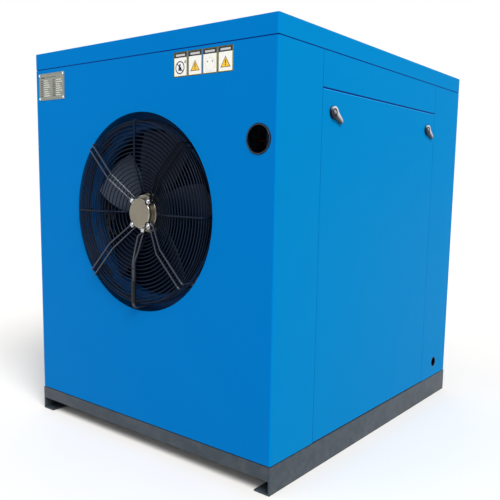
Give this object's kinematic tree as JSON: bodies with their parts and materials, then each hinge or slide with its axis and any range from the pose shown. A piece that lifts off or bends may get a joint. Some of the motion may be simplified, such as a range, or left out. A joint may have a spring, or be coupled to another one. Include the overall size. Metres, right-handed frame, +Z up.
{
  "type": "refrigerated air dryer",
  "caption": "Floor-standing refrigerated compressed-air dryer: sheet-metal cabinet on a channel base, guarded axial condenser fan in front, latched lift-off side door.",
  "frame": {"origin": "centre of the rectangle of anchor holes, in the plane of the underside of the base", "axes": "+Z up, the fan face looks along -Y, the access door along +X"},
  "size_m": [1.051, 1.269, 1.25],
  "materials": {
    "cabinet_blue": "gloss powder coat",
    "base_grey": "satin paint",
    "galvanised_steel": "galvanised",
    "zinc_bright": "polished plating",
    "guard_wire_black": "semi-gloss coating",
    "motor_casting": "satin casting",
    "bearing_steel": "ground",
    "fan_black": "satin coating",
    "rubber_black": "moulded",
    "cable_grey": "smooth sheath",
    "plate_aluminium": "brushed",
    "label_film": "printed film",
    "coil_fins_black": "coated fins",
    "copper": "drawn tube",
    "compressor_black": "gloss enamel",
    "box_plastic": "moulded",
    "pipe_insulation": "closed-cell foam",
    "pipe_steel": "mill finish",
    "panel_grey": "satin paint",
    "display_black": "gloss",
    "gauge_steel": "satin",
    "needle_black": "matt",
    "button_green": "gloss",
    "button_red": "gloss"
  },
  "bodies": {
    "cabinet": {"acorn_nuts": "zinc_bright", "air_pipes": "pipe_steel", "base_crossmembers": "base_grey", "base_rail_left": "base_grey", "base_rail_right": "base_grey", "cable_gland": "box_plastic", "cable_sleeve": "rubber_black", "compressor_mounts": "rubber_black", "compressor_shell": "compressor_black", "compressor_terminal_box": "box_plastic", "condensate_drain": "pipe_steel", "condenser_coil": "coil_fins_black", "condenser_frame": "galvanised_steel", "condenser_return_bends": "copper", "control_panel": "panel_grey", "controller_display": "display_black", "copper_lines": "copper", "door_rails": "galvanised_steel", "drain_grommet": "rubber_black", "electrical_box": "galvanised_steel", "fan_bulkhead": "cabinet_blue", "fan_guard": "guard_wire_black", "fan_shroud": "galvanised_steel", "filter_drier": "copper", "floor_pan": "galvanised_steel", "front_panel": "cabinet_blue", "guard_legs": "guard_wire_black", "header_strip": "cabinet_blue", "heat_exchanger": "pipe_insulation", "inner_frame": "cabinet_blue", "left_panel": "cabinet_blue", "lid": "cabinet_blue", "liquid_receiver": "compressor_black", "moisture_separator": "pipe_steel", "motor_bearings": "bearing_steel", "motor_cable": "cable_grey", "motor_gland": "zinc_bright", "motor_stator": "motor_casting", "nameplate": "plate_aluminium", "nameplate_rivets": "zinc_bright", "panel_screws": "zinc_bright", "port_grommet": "rubber_black", "pressure_gauges": "gauge_steel", "rear_panel": "cabinet_blue", "suction_line": "pipe_insulation", "venturi_ring": "cabinet_blue", "warning_labels": "label_film"},
    "fan_rotor": {"rotor_can": "fan_black", "fan_impeller": "fan_black"},
    "access_door": {"access_door": "cabinet_blue", "latch_bushes": "zinc_bright"},
    "latch_front": {"latch_knob_front": "zinc_bright", "latch_cam_front": "zinc_bright"},
    "latch_rear": {"latch_knob_rear": "zinc_bright", "latch_cam_rear": "zinc_bright"},
    "main_switch": {"main_switch": "box_plastic"},
    "start_button": {"start_button": "button_green"},
    "stop_button": {"stop_button": "button_red"},
    "needle_low": {"needle_low": "needle_black"},
    "needle_high": {"needle_high": "needle_black"}
  },
  "joints": [
    {"name": "fan_spin", "type": "hinge", "parent": "cabinet", "child": "fan_rotor", "pos_m": [0.0065, -0.518, 0.735], "axis": [0, 1, 0], "continuous": true},
    {"name": "door_pull_off", "type": "slide", "parent": "cabinet", "child": "access_door", "axis": [1, 0, 0], "range_m": [0, 0.15]},
    {"name": "latch_front_turn", "type": "hinge", "parent": "access_door", "child": "latch_front", "pos_m": [0.52, -0.331, 1.033], "axis": [1, 0, 0], "range_deg": [0, 90]},
    {"name": "latch_rear_turn", "type": "hinge", "parent": "access_door", "child": "latch_rear", "pos_m": [0.52, 0.301, 1.033], "axis": [1, 0, 0], "range_deg": [-90, 0]},
    {"name": "main_switch_turn", "type": "hinge", "parent": "cabinet", "child": "main_switch", "pos_m": [0.41, 0.594, 0.87], "axis": [0, 1, 0], "range_deg": [0, 90]},
    {"name": "start_button_press", "type": "slide", "parent": "cabinet", "child": "start_button", "axis": [0, -1, 0], "range_m": [0, 0.004], "stiffness_N_per_m": 600},
    {"name": "stop_button_press", "type": "slide", "parent": "cabinet", "child": "stop_button", "axis": [0, -1, 0], "range_m": [0, 0.004], "stiffness_N_per_m": 600},
    {"name": "needle_low_turn", "type": "hinge", "parent": "cabinet", "child": "needle_low", "pos_m": [0.31, 0.58, 1.045], "axis": [0, 1, 0], "range_deg": [-135, 135], "stiffness_Nm_per_rad": 0.005},
    {"name": "needle_high_turn", "type": "hinge", "parent": "cabinet", "child": "needle_high", "pos_m": [0.41, 0.58, 1.045], "axis": [0, 1, 0], "range_deg": [-135, 135], "stiffness_Nm_per_rad": 0.005}
  ]
}
